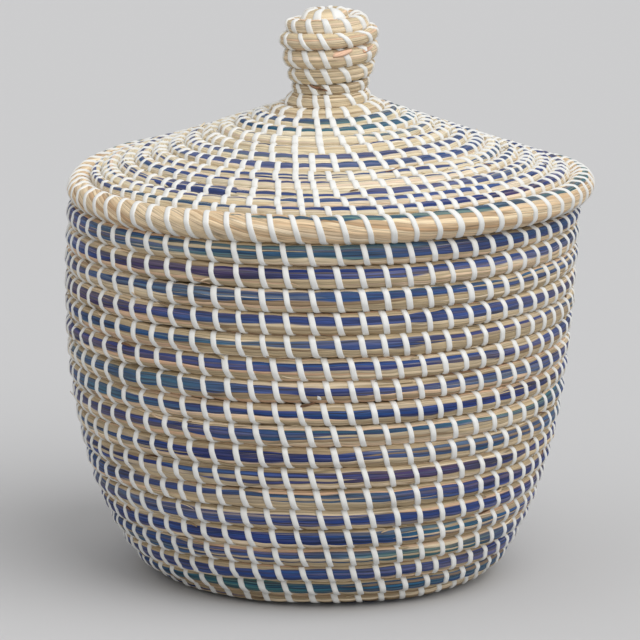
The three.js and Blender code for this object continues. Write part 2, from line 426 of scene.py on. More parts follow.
def make_body_coil():
    """Base and wall, one bundle from the middle of the base to the mouth."""
    return Coil(
        BODY_LINE, even_depth(WALL_DEPTH), BODY_END_TURN,
        start=FRONT - (BODY_TURNS - 1) * WHOLE_TURN, winding=1, outside=1, place=place_body,
        limit=lambda angle: BODY_TURNS + MOUTH_RISE_SHARE * np.cos(angle),
        pitches=BODY_PITCHES, slants=BODY_SLANTS, power=2.12, seed=11,
    )


def make_lid_coil():
    """Knob and cone, one bundle from the knob's top down to the rim."""
    return Coil(
        listed_line(lid_points()), lid_depth, LID_TURNS - TAIL_SHARE,
        start=LID_LAST_TURN_ANGLE + (LID_TURNS - 1) * WHOLE_TURN, winding=-1, outside=-1, place=place_lid,
        pitches=LID_PITCHES, slants=LID_SLANTS, drifts=LID_DRIFTS, follow=LID_FOLLOW_SHARES,
        power=2.1, seed=5,
    )


def make_core_coil():
    """The start of the lid's bundle, curled up and tucked in under the knob's first round."""
    return Coil(
        listed_line(knob_points(CORE_LINE_SHARES)), lid_depth, 1, first=CORE_FIRST_TURN,
        start=LID_LAST_TURN_ANGLE + LID_TURNS * WHOLE_TURN, winding=-1, outside=-1, place=place_lid,
        pitches=LID_PITCHES, slants=LID_SLANTS, power=2.1, seed=4,
    )


def make_rim_coil():
    """The lid's thick last round, which reaches a little under the round above it."""
    half_width = RIM_WIDTH / 2 + RIM_REACH_IN / 2
    centre = np.array([RIM_RADIUS - half_width, RIM_HEIGHT / 2])
    reach = np.array([1, -1]) * RIM_HEIGHT / 2 / math.sqrt(2)
    outwards = np.array([1, 1]) / math.sqrt(2) * half_width
    points = np.array([centre + side * reach + outwards for side in (-1, 1, 3)])
    coil = Coil(
        (np.arange(3.0), points), even_depth(2 * half_width), RIM_END_TURN,
        start=BACK, winding=-1, outside=-1, place=place_lid,
        pitches=RIM_PITCHES, slants=RIM_SLANTS, twist=RIM_TWIST, power=2.15, seed=3,
    )
    coil.centre[:] = centre
    return coil


def make_locating_coil():
    """Two rounds sewn under the lid, inside the mouth."""
    radius = MOUTH_RADIUS - WALL_DEPTH - LOCATING_PLAY
    inner_rim = RIM_RADIUS - RIM_WIDTH
    slope = LID_RISE / (inner_rim - NECK_RADIUS)
    top = RIM_HEIGHT - (LID_DEPTH + LOCATING_DEPTH) / 2 + (inner_rim - radius) * slope
    return Coil(
        even_line(np.array([[radius, -LOCATING_DROP], [radius, top]]), LOCATING_TURNS),
        even_depth(LOCATING_DEPTH), LOCATING_TURNS - TAIL_SHARE,
        start=BACK, winding=1, outside=1, place=place_lid,
        pitches=LOCATING_PITCHES, slants=LOCATING_SLANTS, power=2.3, seed=8,
    )


# Layout of the baked picture: a piece's cells, and its two end faces above them
CELL_MARGIN_SHARE = 0.02
CELLS_TOP_SHARE = 0.95
CAP_RADIUS_SHARE = 0.015
CAP_HEIGHT_SHARE = 0.975
CAP_PLACE_SHARES = (0.02, 0.06)

# Way round bundle and strip, and length of a stitch, for the shape of the cells
BUNDLE_GIRTH = 40 * MM
STRIP_GIRTH = 8 * MM
STITCH_LENGTH = 42 * MM


def inside_cell(share):
    return CELL_MARGIN_SHARE + (1 - 2 * CELL_MARGIN_SHARE) * share


def folded_uv(along, around, per_cell, columns):
    """Corner UVs of a long strip of quads, cut into cells that fill the square."""
    i = np.arange(along)[:, None, None]
    j = np.arange(around)[None, :, None]
    step_along, step_around = np.array([0, 0, 1, 1]), np.array([0, 1, 1, 0])
    cell = i // per_cell
    rows = math.ceil(math.ceil(along / per_cell) / columns)
    u = (cell % columns + inside_cell((i % per_cell + step_along) / per_cell)) / columns
    v = (cell // columns + inside_cell((j + step_around) / around)) / rows * CELLS_TOP_SHARE
    return np.stack(np.broadcast_arrays(u, v), axis=-1)


def cap_uv(count, at):
    """A small round island for the end of a bundle or strip."""
    turn = np.arange(count) / count * WHOLE_TURN
    u = at + CAP_RADIUS_SHARE * np.cos(turn)
    v = CAP_HEIGHT_SHARE + CAP_RADIUS_SHARE * np.sin(turn)
    return np.stack([u, v], axis=-1)


def at_corners(value):
    """A value of each row, at the four corners of the quads from row to row."""
    return np.stack([value[:-1], value[:-1], value[1:], value[1:]], axis=-1)[:, None, :]


def faces_inwards(points):
    """Whether the quads round a tube of points face its inside."""
    across = np.roll(points, -1, axis=1)[:-1] - points[:-1]
    normal = np.cross(across, points[1:] - points[:-1])
    outwards = points[:-1] - points[:-1].mean(axis=1, keepdims=True)
    return (normal * outwards).sum() < 0


def grid_faces(points, bake_uv, grain, offset):
    """Quads round a tube of points and its two end faces, facing out, with their UVs."""
    rows, sides = points.shape[:2]
    number = np.arange(rows * sides).reshape(rows, sides) + offset
    beside = np.roll(number, -1, axis=1)
    quads = np.stack([number[:-1], beside[:-1], beside[1:], number[1:]], axis=-1)
    along, around, twist = grain
    ahead = np.append(around[1:], 1 + around[0])
    grain_around = np.stack([around, ahead, ahead, around], axis=-1)[None, :, :] + at_corners(twist)
    grain_uv = np.stack(np.broadcast_arrays(at_corners(along), grain_around), axis=-1)
    faces = [(quads.reshape(-1, 4), bake_uv.reshape(-1, 4, 2), grain_uv.reshape(-1, 4, 2))]
    for row, order, at in zip((0, -1), (-1, 1), CAP_PLACE_SHARES):
        end_grain = np.stack([np.full(sides, along[row]), around + twist[row]], axis=-1)
        faces.append((number[row][None, ::order], cap_uv(sides, at)[None], end_grain[None, ::order]))
    if faces_inwards(points):
        faces = [tuple(part[:, ::-1] for part in face) for face in faces]
    return faces


def make_mesh(name, points, faces, dye):
    """A smooth mesh with the bake's UVs, the grain's UVs and the dye at each point."""
    mesh = bpy.data.meshes.new(name)
    mesh.vertices.add(len(points))
    mesh.vertices.foreach_set("co", points.astype(np.float32).ravel())
    corners = np.concatenate([face[0].ravel() for face in faces])
    sizes = np.concatenate([np.full(len(face[0]), face[0].shape[1]) for face in faces])
    mesh.loops.add(len(corners))
    mesh.loops.foreach_set("vertex_index", corners.astype(np.int32))
    mesh.polygons.add(len(sizes))
    mesh.polygons.foreach_set("loop_start", (np.cumsum(sizes) - sizes).astype(np.int32))
    mesh.polygons.foreach_set("use_smooth", np.ones(len(sizes), dtype=bool))
    for layer, part in (("OFBake", 1), ("grain", 2)):
        flat = np.concatenate([face[part].reshape(-1, 2) for face in faces])
        mesh.uv_layers.new(name=layer).data.foreach_set("uv", flat.astype(np.float32).ravel())
    dyes = mesh.attributes.new("dye", "FLOAT_VECTOR", "POINT")
    dyes.data.foreach_set("vector", dye.astype(np.float32).ravel())
    mesh.update(calc_edges=True)
    mesh.validate()
    return mesh


def add_piece(name, grids, dye, material, body, slot, *nodes):
    """Joins closed tubes into one piece that rides on a body and may stand for CAD nodes."""
    faces, offset = [], 0
    for points, bake_uv, grain in grids:
        faces += grid_faces(points, bake_uv, grain, offset)
        offset += points[..., 0].size
    points = np.concatenate([grid[0].reshape(-1, 3) for grid in grids])
    piece = bpy.data.objects.new(name, make_mesh(name, points, faces, dye))
    bpy.context.scene.collection.objects.link(piece)
    piece.data.materials.append(material)
    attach(piece, body)
    if nodes:
        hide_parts(*nodes)


def grass_turns(coil, first, last):
    """Turns at which the bundle's surface has its rows of points."""
    length = coil.at(coil.length, last) - coil.at(coil.length, first)
    return np.linspace(first, last, max(round(length / GRASS_STEP), LEAST_ROWS) + 1)


def grass_grid(coil, turn):
    """The bundle's surface at the given turns: points, the bake's UVs, and the grain."""
    rows = len(turn) - 1
    around = SEAM_SHARE + np.arange(GRASS_AROUND) / GRASS_AROUND
    turns, arounds = turn[:, None], around[None, :]
    lift = coil.lumps(turns, arounds) - coil.pinch(turns, arounds) - GRASS_BELOW_LINE
    along = coil.at(coil.length, turn)
    folds = max(round(math.sqrt((along[-1] - along[0]) / BUNDLE_GIRTH)), 1)
    uv = folded_uv(rows, GRASS_AROUND, math.ceil(rows / folds), 1)
    return coil.surface(turns, arounds, lift), uv, (along, around, read_table(coil.twist, turn))


def stitch_at(coil, stitch, around):
    """Turn at which a stitch crosses a place on the way round the bundle."""
    index = np.arange(len(coil.stitches))
    start = np.interp(stitch, index, coil.stitches)
    return np.interp(stitch + coil.share(start, around), index, coil.stitches)


def strip_grid(coil, first, last, drawn):
    """The sewing strip, round after round of the bundle, from one stitch to another."""
    steps = np.arange(first * STRIP_STEPS, last * STRIP_STEPS + 1)
    stitch, around = steps // STRIP_STEPS, (steps % STRIP_STEPS) / STRIP_STEPS
    turn = stitch_at(coil, stitch, around)
    outer = np.maximum(np.sin(WHOLE_TURN * around), 0)
    reach = coil.at(coil.outwards[:, 0] * coil.half_depth, turn) * outer
    radius = np.maximum(coil.at(coil.centre[:, 0], turn) + reach, LEAST_RADIUS)
    varies = np.interp(steps / STRIP_STEPS, np.arange(len(drawn)), drawn)
    width = STRIP_WIDTH * (1 + STRIP_VARIES_SHARE * varies)
    turns = turn[:, None] + STRIP_ACROSS_SHARES * (width / (WHOLE_TURN * radius))[:, None]
    lumps = coil.lumps(turn, around)[:, None] * STRIP_LUMPS_SHARE
    lift = STRIP_HEIGHT_SHARES * STRIP_TOP + lumps - PINCH_DEPTH - GRASS_BELOW_LINE
    sides = len(STRIP_ACROSS_SHARES)
    columns = max(round(math.sqrt((last - first) * STRIP_GIRTH / STITCH_LENGTH)), 1)
    uv = folded_uv(len(steps) - 1, sides, STRIP_STEPS, columns)
    grain = (steps / STRIP_STEPS, np.arange(sides) / sides, 0 * steps)
    return coil.surface(turns, around[:, None], lift), uv, grain


def srgb(red, green, blue):
    """A colour as seen on screen, in the linear values that nodes take."""
    shares = [value / 255 for value in (red, green, blue)]
    linear = [share / 12.92 if share <= 0.04045 else ((share + 0.055) / 1.055) ** 2.4 for share in shares]
    return (*linear, 1)


class Graph:
    """A material's node tree, built from the shader backwards."""

    def __init__(self, name):
        self.material = bpy.data.materials.new(name)
        self.material.use_nodes = True
        self.tree = self.material.node_tree
        self.shader = self.tree.nodes["Principled BSDF"]

    def feed(self, socket, value):
        if isinstance(value, bpy.types.NodeSocket):
            self.tree.links.new(value, socket)
        else:
            socket.default_value = value

    def node(self, kind, inputs=(), **settings):
        made = self.tree.nodes.new("ShaderNode" + kind)
        for key, value in settings.items():
            setattr(made, key, value)
        for socket, value in dict(inputs).items():
            self.feed(made.inputs[socket], value)
        return made

    def math(self, operation, a, b=0.0, clamp=False):
        return self.node("Math", {0: a, 1: b}, operation=operation, use_clamp=clamp).outputs[0]

    def times(self, *values):
        """All the values multiplied."""
        product = values[0]
        for value in values[1:]:
            product = self.math("MULTIPLY", product, value)
        return product

    def parts(self, vector):
        return self.node("SeparateXYZ", {0: vector}).outputs

    def scaled(self, vector, scales):
        return self.node("VectorMath", {0: vector, 1: scales}, operation="MULTIPLY").outputs[0]

    def noise(self, vector, scales, detail):
        inputs = {"Vector": self.scaled(vector, scales), "Scale": 1.0, "Detail": detail}
        return self.node("TexNoise", inputs, noise_dimensions="3D").outputs["Fac"]

    def ranged(self, value, low, high, to_low=0.0, to_high=1.0):
        ends = {"Value": value, "From Min": low, "From Max": high, "To Min": to_low, "To Max": to_high}
        return self.node("MapRange", ends).outputs[0]

    def layer(self, vector, scales, detail, *ends):
        """Noise of the given scales and detail, ranged between the given ends."""
        return self.ranged(self.noise(vector, scales, detail), *ends)

    def mix(self, share, a, b):
        made = self.node("Mix", data_type="RGBA")
        for socket, value in ((made.inputs[0], share), (made.inputs[6], a), (made.inputs[7], b)):
            self.feed(socket, value)
        return made.outputs[2]

    def ramp(self, value, stops):
        """Colours from rows of share, red, green and blue."""
        made = self.node("ValToRGB", {0: value})
        elements = made.color_ramp.elements
        while len(elements) < len(stops):
            elements.new(1.0)
        for element, (share, *colour) in zip(elements, stops):
            element.position = share
            element.color = srgb(*colour)
        return made.outputs[0]

    def coat(self, colour, height, bump, roughness, specular):
        """Gives the shader its colour, its bumps of a strength and depth, and its shine."""
        strength, depth = bump
        bumps = self.node("Bump", {"Strength": strength, "Distance": depth, "Height": height})
        names = ("Base Color", "Normal", "Roughness", "Specular IOR Level")
        for name, value in zip(names, (colour, bumps.outputs[0], roughness, specular)):
            self.feed(self.shader.inputs[name], value)
        return self.material


# Colours of the dye by its hue, from violet to teal, and of natural grass: share, red, green, blue
DYE_SHARES = [
    (0.0, 72, 56, 114), (0.1, 44, 50, 100), (0.3, 38, 62, 140), (0.52, 44, 80, 148), (0.74, 44, 98, 136),
    (0.9, 60, 118, 126), (1.0, 80, 130, 130),
]
WALL_TAN_SHARES = [
    (0.0, 150, 126, 98), (0.22, 212, 190, 154), (0.5, 192, 172, 138), (0.8, 246, 226, 194),
    (1.0, 226, 186, 152),
]
LID_TAN_SHARES = [
    (0.0, 220, 198, 162), (0.3, 248, 234, 204), (0.6, 240, 224, 190), (0.85, 250, 238, 212),
    (1.0, 244, 216, 190),
]
KNOB_TAN_SHARES = [
    (0.0, 176, 148, 114), (0.3, 240, 220, 186), (0.6, 224, 204, 166), (0.85, 250, 230, 198),
    (1.0, 236, 198, 164),
]
RIM_TAN_SHARES = [
    (0.0, 196, 160, 122), (0.3, 238, 212, 174), (0.55, 248, 226, 190), (0.8, 232, 200, 160),
    (1.0, 250, 232, 202),
]
BROWN_SHARES = [(0.0, 112, 80, 58), (1.0, 170, 128, 98)]
PEACH_SHARES = [(0.0, 240, 192, 160), (1.0, 250, 214, 186)]
DEEP_DYE = srgb(26, 36, 62)
STRIP_WHITE = srgb(237, 237, 234)
STRIP_STAIN = srgb(230, 214, 194)

# How much deep dye the darkest spots take: knob and rim, wall, lid
DEEP_SHARE = 0.75
WALL_DEEP_SHARE = 0.9
LID_DEEP_SHARE = 0.6

# Blades: length, width as a share of the way round, and how far dye keeps to whole blades
BLADE_LENGTH = 120 * MM
BLADE_SHARE = 0.042
WHOLE_BLADES_SHARE = 0.55

# Noise: scales along and round the bundle, detail, and the ends that it is ranged from and to
WOBBLE = ((28, 9, 1), 1.0, 0.0, 1.0, -0.032, 0.032)
SLIVERS = ((12, 60, 1), 2.0, 0.66, 0.72, 1.0, 0.2)
DEEP_SPOTS = ((16, 45, 1), 2.0, 0.42, 0.66)
BROAD_SPOTS = ((14, 26, 1), 2.0, 0.52, 0.75, 0.0, 0.55)
STREAKS = ((55, 55, 1), 2.0, 0.3, 0.7, -0.13, 0.1)
# SLIT_SHADE_SPOTS: where painted shade shows in the slits between blades
SLIT_SHADE_SPOTS = ((22, 11, 1), 1.0, 0.4, 0.62)
FIBRES = ((70, 190, 1), 3.0)
STAINS = ((0.9, 3, 1), 2.0, 0.66, 0.82, 0.0, 0.5)

# What a blade's chance or a place on it is ranged from and to
BAND_EDGE = (0.004, -0.004)
MISSED_BLADES = (0.93, 0.95, 1.0, 0.15)
DYE_STRENGTHS = (0.0, 1.0, 1.0, 0.86)
BLADE_HUES = (0.0, 1.0, -0.13, 0.13)
BLADE_LIGHTS = (0.0, 1.0, 0.88, 1.12)
FIBRE_LIGHTS = (0.3, 0.7, 0.78, 1.13)
FIBRE_ROUGHNESS = (0.3, 0.7, 0.66, 0.5)
# SLIT_SHADES: painted shade near a blade's edge, in the slit between blades
SLIT_SHADES = (0.0, 0.08, 0.62, 0.0)
BLADE_ROUNDING = (0.0, 0.25, 0.0, 0.6)

# Bumps: the fibres' part in their height, and strength and depth; roughness and specular level
FIBRE_HEIGHT_SHARE = 0.7
GRASS_BUMP = (0.8, 0.5 * MM)
GRASS_SPECULAR = 0.25
STRIP_BUMP = (0.25, 0.1 * MM)
STRIP_RIBS = 12
STRIP_SHINE = (0.42, 0.35)


class Grass(Graph):
    """Blades, dye, fibres and the painted shade in the slits of twisted grass, as sockets of one node tree.
    """

    def __init__(self, name):
        super().__init__(name)
        grain = self.node("UVMap", uv_map="grain").outputs[0]
        along, around, _ = self.parts(grain)
        self.dye = self.parts(self.node("Attribute", attribute_name="dye").outputs["Vector"])
        self.around = self.math("ADD", around, self.layer(grain, *WOBBLE))
        self.flat = self.node("CombineXYZ", {0: along, 1: self.around}).outputs[0]
        self.fibres = self.noise(self.flat, *FIBRES)
        self.find_blades()

    def find_blades(self):
        """Each blade's three random values, its middle on the way round, and the distance to its edge."""
        inputs = {"Vector": self.scaled(self.flat, (1 / BLADE_LENGTH, 1 / BLADE_SHARE, 1)), "Scale": 1.0}
        blades = self.node("TexVoronoi", inputs, voronoi_dimensions="2D")
        edges = self.node("TexVoronoi", inputs, voronoi_dimensions="2D", feature="DISTANCE_TO_EDGE")
        self.luck = self.parts(blades.outputs["Color"])
        self.blade_around = self.times(self.parts(blades.outputs["Position"])[1], BLADE_SHARE)
        self.to_edge = edges.outputs["Distance"]

    def dyed(self):
        """How much dye the grass has: the band's, mostly by whole blades, less what it missed."""
        centre, half, _ = self.dye
        by_blade = self.times(self.blade_around, WHOLE_BLADES_SHARE)
        by_place = self.times(self.around, 1 - WHOLE_BLADES_SHARE)
        away = self.math("ABSOLUTE", self.math("SUBTRACT", self.math("ADD", by_blade, by_place), centre))
        inside = self.ranged(self.math("SUBTRACT", away, half), *BAND_EDGE)
        met = self.ranged(self.luck[0], *MISSED_BLADES)
        strength = self.ranged(self.luck[2], *DYE_STRENGTHS)
        return self.times(inside, self.layer(self.flat, *SLIVERS), met, strength)

    def dye_colour(self, deep_share):
        """The dye's colour by its hue, a little different on each blade, with deep spots."""
        hue = self.math("ADD", self.dye[2], self.ranged(self.luck[1], *BLADE_HUES), clamp=True)
        deep = self.layer(self.flat, *DEEP_SPOTS, 0.0, deep_share)
        return self.mix(deep, self.ramp(hue, DYE_SHARES), DEEP_DYE)

    def tan_colour(self, tans):
        """Natural grass, each blade with its own tan, and broad spots of the darkest one."""
        darkest = srgb(*tans[0][1:])
        return self.mix(self.layer(self.flat, *BROAD_SPOTS), self.ramp(self.luck[2], tans), darkest)

    def light(self):
        """Light and dark fibres, streaks and blades, and painted shade in the slits between blades."""
        lines = self.math("ADD", self.ranged(self.fibres, *FIBRE_LIGHTS), self.layer(self.flat, *STREAKS))
        own = self.ranged(self.luck[1], *BLADE_LIGHTS)
        # Painted shade in the slits between blades, by the distance to a blade's edge
        painted_slit_shade = self.times(self.ranged(self.to_edge, *SLIT_SHADES), self.layer(self.flat, *SLIT_SHADE_SPOTS))
        return self.times(lines, own, self.math("SUBTRACT", 1.0, painted_slit_shade))

    def height(self):
        """Round blades with fibres on them."""
        fibres = self.times(self.fibres, FIBRE_HEIGHT_SHARE)
        return self.math("ADD", self.ranged(self.to_edge, *BLADE_ROUNDING), fibres)


def grass_material(name, tans, deep_share=DEEP_SHARE):
    """Dry twisted grass: long blades, some of them dyed, with fine fibres and painted shade in the slits
    along them.
    """
    grass = Grass(name)
    colour = grass.mix(grass.dyed(), grass.tan_colour(tans), grass.dye_colour(deep_share))
    # The grass colour with its random tones and the painted shade in the slits between blades
    colour_with_slit_shade = grass.scaled(colour, grass.light())
    roughness = grass.ranged(grass.fibres, *FIBRE_ROUGHNESS)
    return grass.coat(colour_with_slit_shade, grass.height(), GRASS_BUMP, roughness, GRASS_SPECULAR)


def strip_material():
    """White plastic strip: a satin face with faint lengthwise ribs, here and there stained by the grass."""
    graph = Graph("white_strip")
    grain = graph.node("UVMap", uv_map="grain").outputs[0]
    colour = graph.mix(graph.layer(grain, *STAINS), STRIP_WHITE, STRIP_STAIN)
    ribs = graph.math("SINE", graph.times(graph.parts(grain)[1], WHOLE_TURN * STRIP_RIBS))
    return graph.coat(colour, ribs, STRIP_BUMP, *STRIP_SHINE)


# Where the dyed band lies on the lid's rounds: turn, middle and half width as shares of the way round
LID_BAND_SHARES = [
    (7.4, 0.24, -0.04), (8.11, 0.235, 0.085), (9.11, 0.235, 0.075), (10.11, 0.27, 0.035),
    (11.11, 0.29, 0.02), (12.11, 0.24, 0.085), (13.11, 0.24, 0.085), (14.11, 0.17, 0.05),
    (15.11, 0.27, 0.035), (15.33, 0.24, 0.085), (15.7, 0.25, 0.05), (15.92, 0.24, 0.1),
    (16.03, 0.23, 0.09), (16.11, 0.14, 0.04), (16.183, 0.17, 0.05), (16.193, 0.2, 0.17),
    (16.252, 0.2, 0.17), (16.27, 0.22, 0.06), (17.11, 0.25, 0.06), (18.11, 0.24, 0.08), (19, 0.24, 0.08),
]
WIDER_ON_RIGHT_SHARE = 0.018

# The same for the wall and the rim, with half widths by turn
WALL_MIDDLE_SHARE = 0.196
WALL_HALF_SHARES = [
    (8, 0.096), (12, 0.086), (15, 0.07), (17.5, 0.056), (20, 0.056), (20.8, 0.082), (21.2, 0.07),
    (23.7, 0.07), (23.86, 0.108), (24.06, 0.098), (24.3, 0.072), (25, 0.072),
]
RIM_MIDDLE_SHARE = 0.325
RIM_HALF_SHARES = [(0.51, 0.058), (0.575, -0.0174)]
RIM_BACK_TURN = 0.8
RIM_BACK_HALF_SHARES = [(0.8, 0), (1.05, 0.125)]
RIM_WIDEST_SHARE = 0.062

# Undyed parts of the body, where the band is narrower: the base, and a round with its reach in turns
BASE_END_TURN = 5
NATURAL_TURN = 7.1
NATURAL_REACH = 0.3
NATURAL_SHARE = 0.14

# Hue of the dye, from 0 for violet to 1 for teal, and how far a known hue replaces a drawn one
WALL_HUE = 0.48
RIM_HUE = 0.86
KNOWN_HUE_SHARE = 0.85
LID_HUES = [
    (8, 0.7), (11.6, 0.65), (12.1, 0.48), (14, 0.45), (16.9, 0.45), (17.3, 0.5), (17.93, 0.4),
    (17.965, 0.02), (18.0, 0.3), (18.2, 0.6), (19, 0.6),
]

# Places on the body where the hue is known: turn, reach in turns, and hue
WALL_HUES = [
    (23.97, 0.08, 0.84), (24.2, 0.12, 0.6), (22.915, 0.045, 0.03), (23.1, 0.13, 0.4), (22.05, 0.2, 0.62),
    (20.84, 0.08, 0.05), (21.03, 0.12, 0.36), (19.9, 0.1, 0.78), (19.1, 0.2, 0.42), (12.0, 0.2, 0.4),
    (9.0, 0.2, 0.45),
]

# Waves in the bands: their height, their lengths along the bundle in metres, and their seed
WALL_MIDDLE_WAVES = [(0.036, (0.47, 0.83, 1.31), 21), (0.014, (0.09, 0.14), 22)]
WALL_HALF_WAVES = [(0.026, (0.24, 0.41, 0.77), 23), (0.012, (0.07, 0.12), 24)]
WALL_HUE_WAVES = [(0.5, (0.19, 0.37, 0.71, 1.3), 25)]
LID_MIDDLE_WAVES = [(0.025, (0.11, 0.23, 0.4), 31)]
LID_HALF_WAVES = [(0.022, (0.08, 0.17, 0.33), 32)]
LID_HUE_WAVES = [(0.2, (0.15, 0.31, 0.6), 33)]
RIM_HALF_WAVES = [(0.012, (0.05, 0.08, 0.21), 41)]


def wavy(value, along, table):
    """A value with waves from a table added."""
    return value + sum(height * waves(along, lengths, seed) for height, lengths, seed in table)


def bell(turn, middle, reach, power):
    """One at the middle, and nearly nothing past the reach."""
    return np.exp(-(((turn - middle) / reach) ** power))


def body_dye(coil, turn):
    """Middle and half width of the dyed band, and its hue, along the body."""
    along = coil.at(coil.length, turn)
    middle = wavy(WALL_MIDDLE_SHARE, along, WALL_MIDDLE_WAVES)
    natural = np.minimum(bell(turn, NATURAL_TURN, NATURAL_REACH, 2) + (turn < BASE_END_TURN), 1)
    half = wavy(read_table(WALL_HALF_SHARES, turn), along, WALL_HALF_WAVES) - NATURAL_SHARE * natural
    hue = wavy(WALL_HUE, along, WALL_HUE_WAVES)
    for place, reach, known in WALL_HUES:
        hue = hue + (known - hue) * KNOWN_HUE_SHARE * bell(turn, place, reach, 4)
    return np.stack([middle, half, hue], axis=-1)


def lid_dye(coil, turn):
    """The same along the cone, where the band is wider on the right."""
    along = coil.at(coil.length, turn)
    turns, middles, halves = zip(*LID_BAND_SHARES)
    middle = wavy(np.interp(turn, turns, middles), along, LID_MIDDLE_WAVES)
    half = wavy(np.interp(turn, turns, halves), along, LID_HALF_WAVES)
    half += WIDER_ON_RIGHT_SHARE * (np.cos(coil.angle(turn)) - 1 / 2)
    hue = wavy(read_table(LID_HUES, turn), along, LID_HUE_WAVES)
    return np.stack([middle, half, hue], axis=-1)


def rim_dye(coil, turn):
    """A narrow band that twists with the rim, from the left of the back round the right to the front."""
    half = wavy(read_table(RIM_HALF_SHARES, turn), coil.at(coil.length, turn), RIM_HALF_WAVES)
    half = np.where(turn > RIM_BACK_TURN, read_table(RIM_BACK_HALF_SHARES, turn), half)
    middle = RIM_MIDDLE_SHARE + read_table(coil.twist, turn)
    return np.stack([middle, np.minimum(half, RIM_WIDEST_SHARE), RIM_HUE + 0 * turn], axis=-1)


def no_dye(coil, turn):
    """A band whose width is less than nothing."""
    return np.stack([0 * turn, 0 * turn - 1, 0 * turn], axis=-1)


strip = strip_material()
wall_grass = grass_material("wall_grass", WALL_TAN_SHARES, WALL_DEEP_SHARE)
lid_grass = grass_material("lid_grass", LID_TAN_SHARES, LID_DEEP_SHARE)
knob_grass = grass_material("knob_grass", KNOB_TAN_SHARES)
rim_grass = grass_material("rim_grass", RIM_TAN_SHARES)
brown_grass = grass_material("brown_grass", BROWN_SHARES)
peach_grass = grass_material("peach_grass", PEACH_SHARES)

# Body, slot, grass and dye of each node
LOOKS = {node: ("basket", "dyed_grass", wall_grass, body_dye) for node, _ in BODY_NODES}
LOOKS |= {
    "base_coil": ("basket", "plain_grass", wall_grass, body_dye),
    "knob_coil": ("lid", "plain_grass", knob_grass, no_dye),
    "lid_coil": ("lid", "lid_grass", lid_grass, lid_dye),
    "lid_rim_coil": ("lid", "plain_grass", rim_grass, rim_dye),
    "lid_locating_coil": ("lid", "plain_grass", rim_grass, no_dye),
}


def cuts_at_back(coil, first, last, step):
    """Turns that cut a length of coil into pieces, out of sight at the back."""
    share = (coil.winding * (BACK - coil.start) / WHOLE_TURN) % 1
    turn = math.ceil(first + step / 2 - share) + share
    cuts = [first]
    while turn < last - step / 2:
        cuts.append(turn)
        turn += step
    return cuts + [last]


def lengths_of(coil, nodes, step):
    """Name, node and turns of each piece that a coil is made in."""
    first = coil.grid[0]
    for node, end in nodes:
        last = coil.grid[-1] if end is None else end
        cuts = cuts_at_back(coil, first, last, step)
        for number, (start, stop) in enumerate(zip(cuts, cuts[1:])):
            yield f"{node}_{number}", node, start, stop
        first = last


def add_grass(name, node, coil, first, last):
    """The grass of a coil from one turn to another."""
    body, slot, material, dye = LOOKS[node]
    turn = grass_turns(coil, first, last)
    dyes = np.repeat(dye(coil, turn), GRASS_AROUND, axis=0)
    add_piece(name + "_grass", [grass_grid(coil, turn)], dyes, material, body, slot, node)


def add_strip(name, node, coil, first, last, drawn):
    """The strip of a coil from one stitch to another."""
    grid = strip_grid(coil, first, last, drawn)
    undyed = np.zeros((grid[0][..., 0].size, 3))
    add_piece(name + "_strip", [grid], undyed, strip, LOOKS[node][0], "sewing_strip", node)


def dress(coil, nodes):
    """Grass pieces of a coil."""
    for name, node, first, last in lengths_of(coil, nodes, GRASS_PIECE_TURNS):
        add_grass(name, node, coil, first, last)


def sew(coil, nodes):
    """Strip pieces of a coil, each from the first stitch after one cut to the first after the next."""
    drawn = np.random.default_rng(coil.seed + STRIP_SEED).normal(0, 1, len(coil.stitches))
    for name, node, *ends in lengths_of(coil, nodes, STRIP_PIECE_TURNS):
        first, last = np.minimum(np.searchsorted(coil.stitches, ends), len(coil.stitches) - 2)
        add_strip(name, node, coil, first, last, drawn)


def fill_knob(coil):
    """Grass and strip of the core, whose strip has one width."""
    count = len(coil.stitches)
    add_grass("knob_core", "knob_coil", coil, CORE_FIRST_TURN, 1)
    add_strip("knob_core", "knob_coil", coil, 0, count - 2, np.zeros(count))


body_coil = make_body_coil()
lid_coil = make_lid_coil()
for coil, nodes in (
    (body_coil, BODY_NODES), (lid_coil, LID_NODES), (make_rim_coil(), RIM_NODES),
    (make_locating_coil(), LOCATING_NODES),
):
    dress(coil, nodes)
    sew(coil, nodes)
fill_knob(make_core_coil())

# Loose ends of blades and strip: rows and sides of one, thickness, depth of its root, and its tip
LOOSE_ROWS = 8
LOOSE_SIDES = 6
LOOSE_THICK = 0.3 * MM
LOOSE_ROOT = 0.6 * MM
TIP_NARROWER_SHARE = 0.6
ASIDE_SHARE = 0.01
LOOSE_COLUMNS = 12
LOOSE_GRAIN_START = 20

# Single ends: turn, way round, reach, width and lift in mm, and how far the end veers
PALE_ENDS = [
    (13.119, 0.36, 9, 1.8, 2.6, 0.06), (18.93, 0.04, 11, 2.4, 1.6, 0.1), (23.454, 0.2, 10, 1.2, 2.2, 0.08),
]
STRIP_ENDS = [
    (8.9, 0.47, 5, 3.2, 1, 0.03), (16.126, 0.4, 3.5, 3, 1.2, 0.05), (18.0, 0.3, 2.2, 2.6, 0.9, 0.0),
]
PEACH_ENDS = [(3.1, 0.37, -9, 3.8, 1.9, 0.02), (2.987, 0.36, -6, 2.4, 1.1, 0.03)]
BROWN_LID_ENDS = [
    (5.15, 0.34, 6, 1.8, 1, 0.06), (5.16, 0.3, -5, 1.4, 0.8, -0.04), (14.95, 0.2, 6, 1.6, 1, 0.06),
    (16.888, 0.2, 5, 1.4, 1, 0.05), (16.09, 0.24, 5, 1.2, 0.3, -0.05), (14.06, 0.22, -9, 0.9, 0.4, 0.05),
]

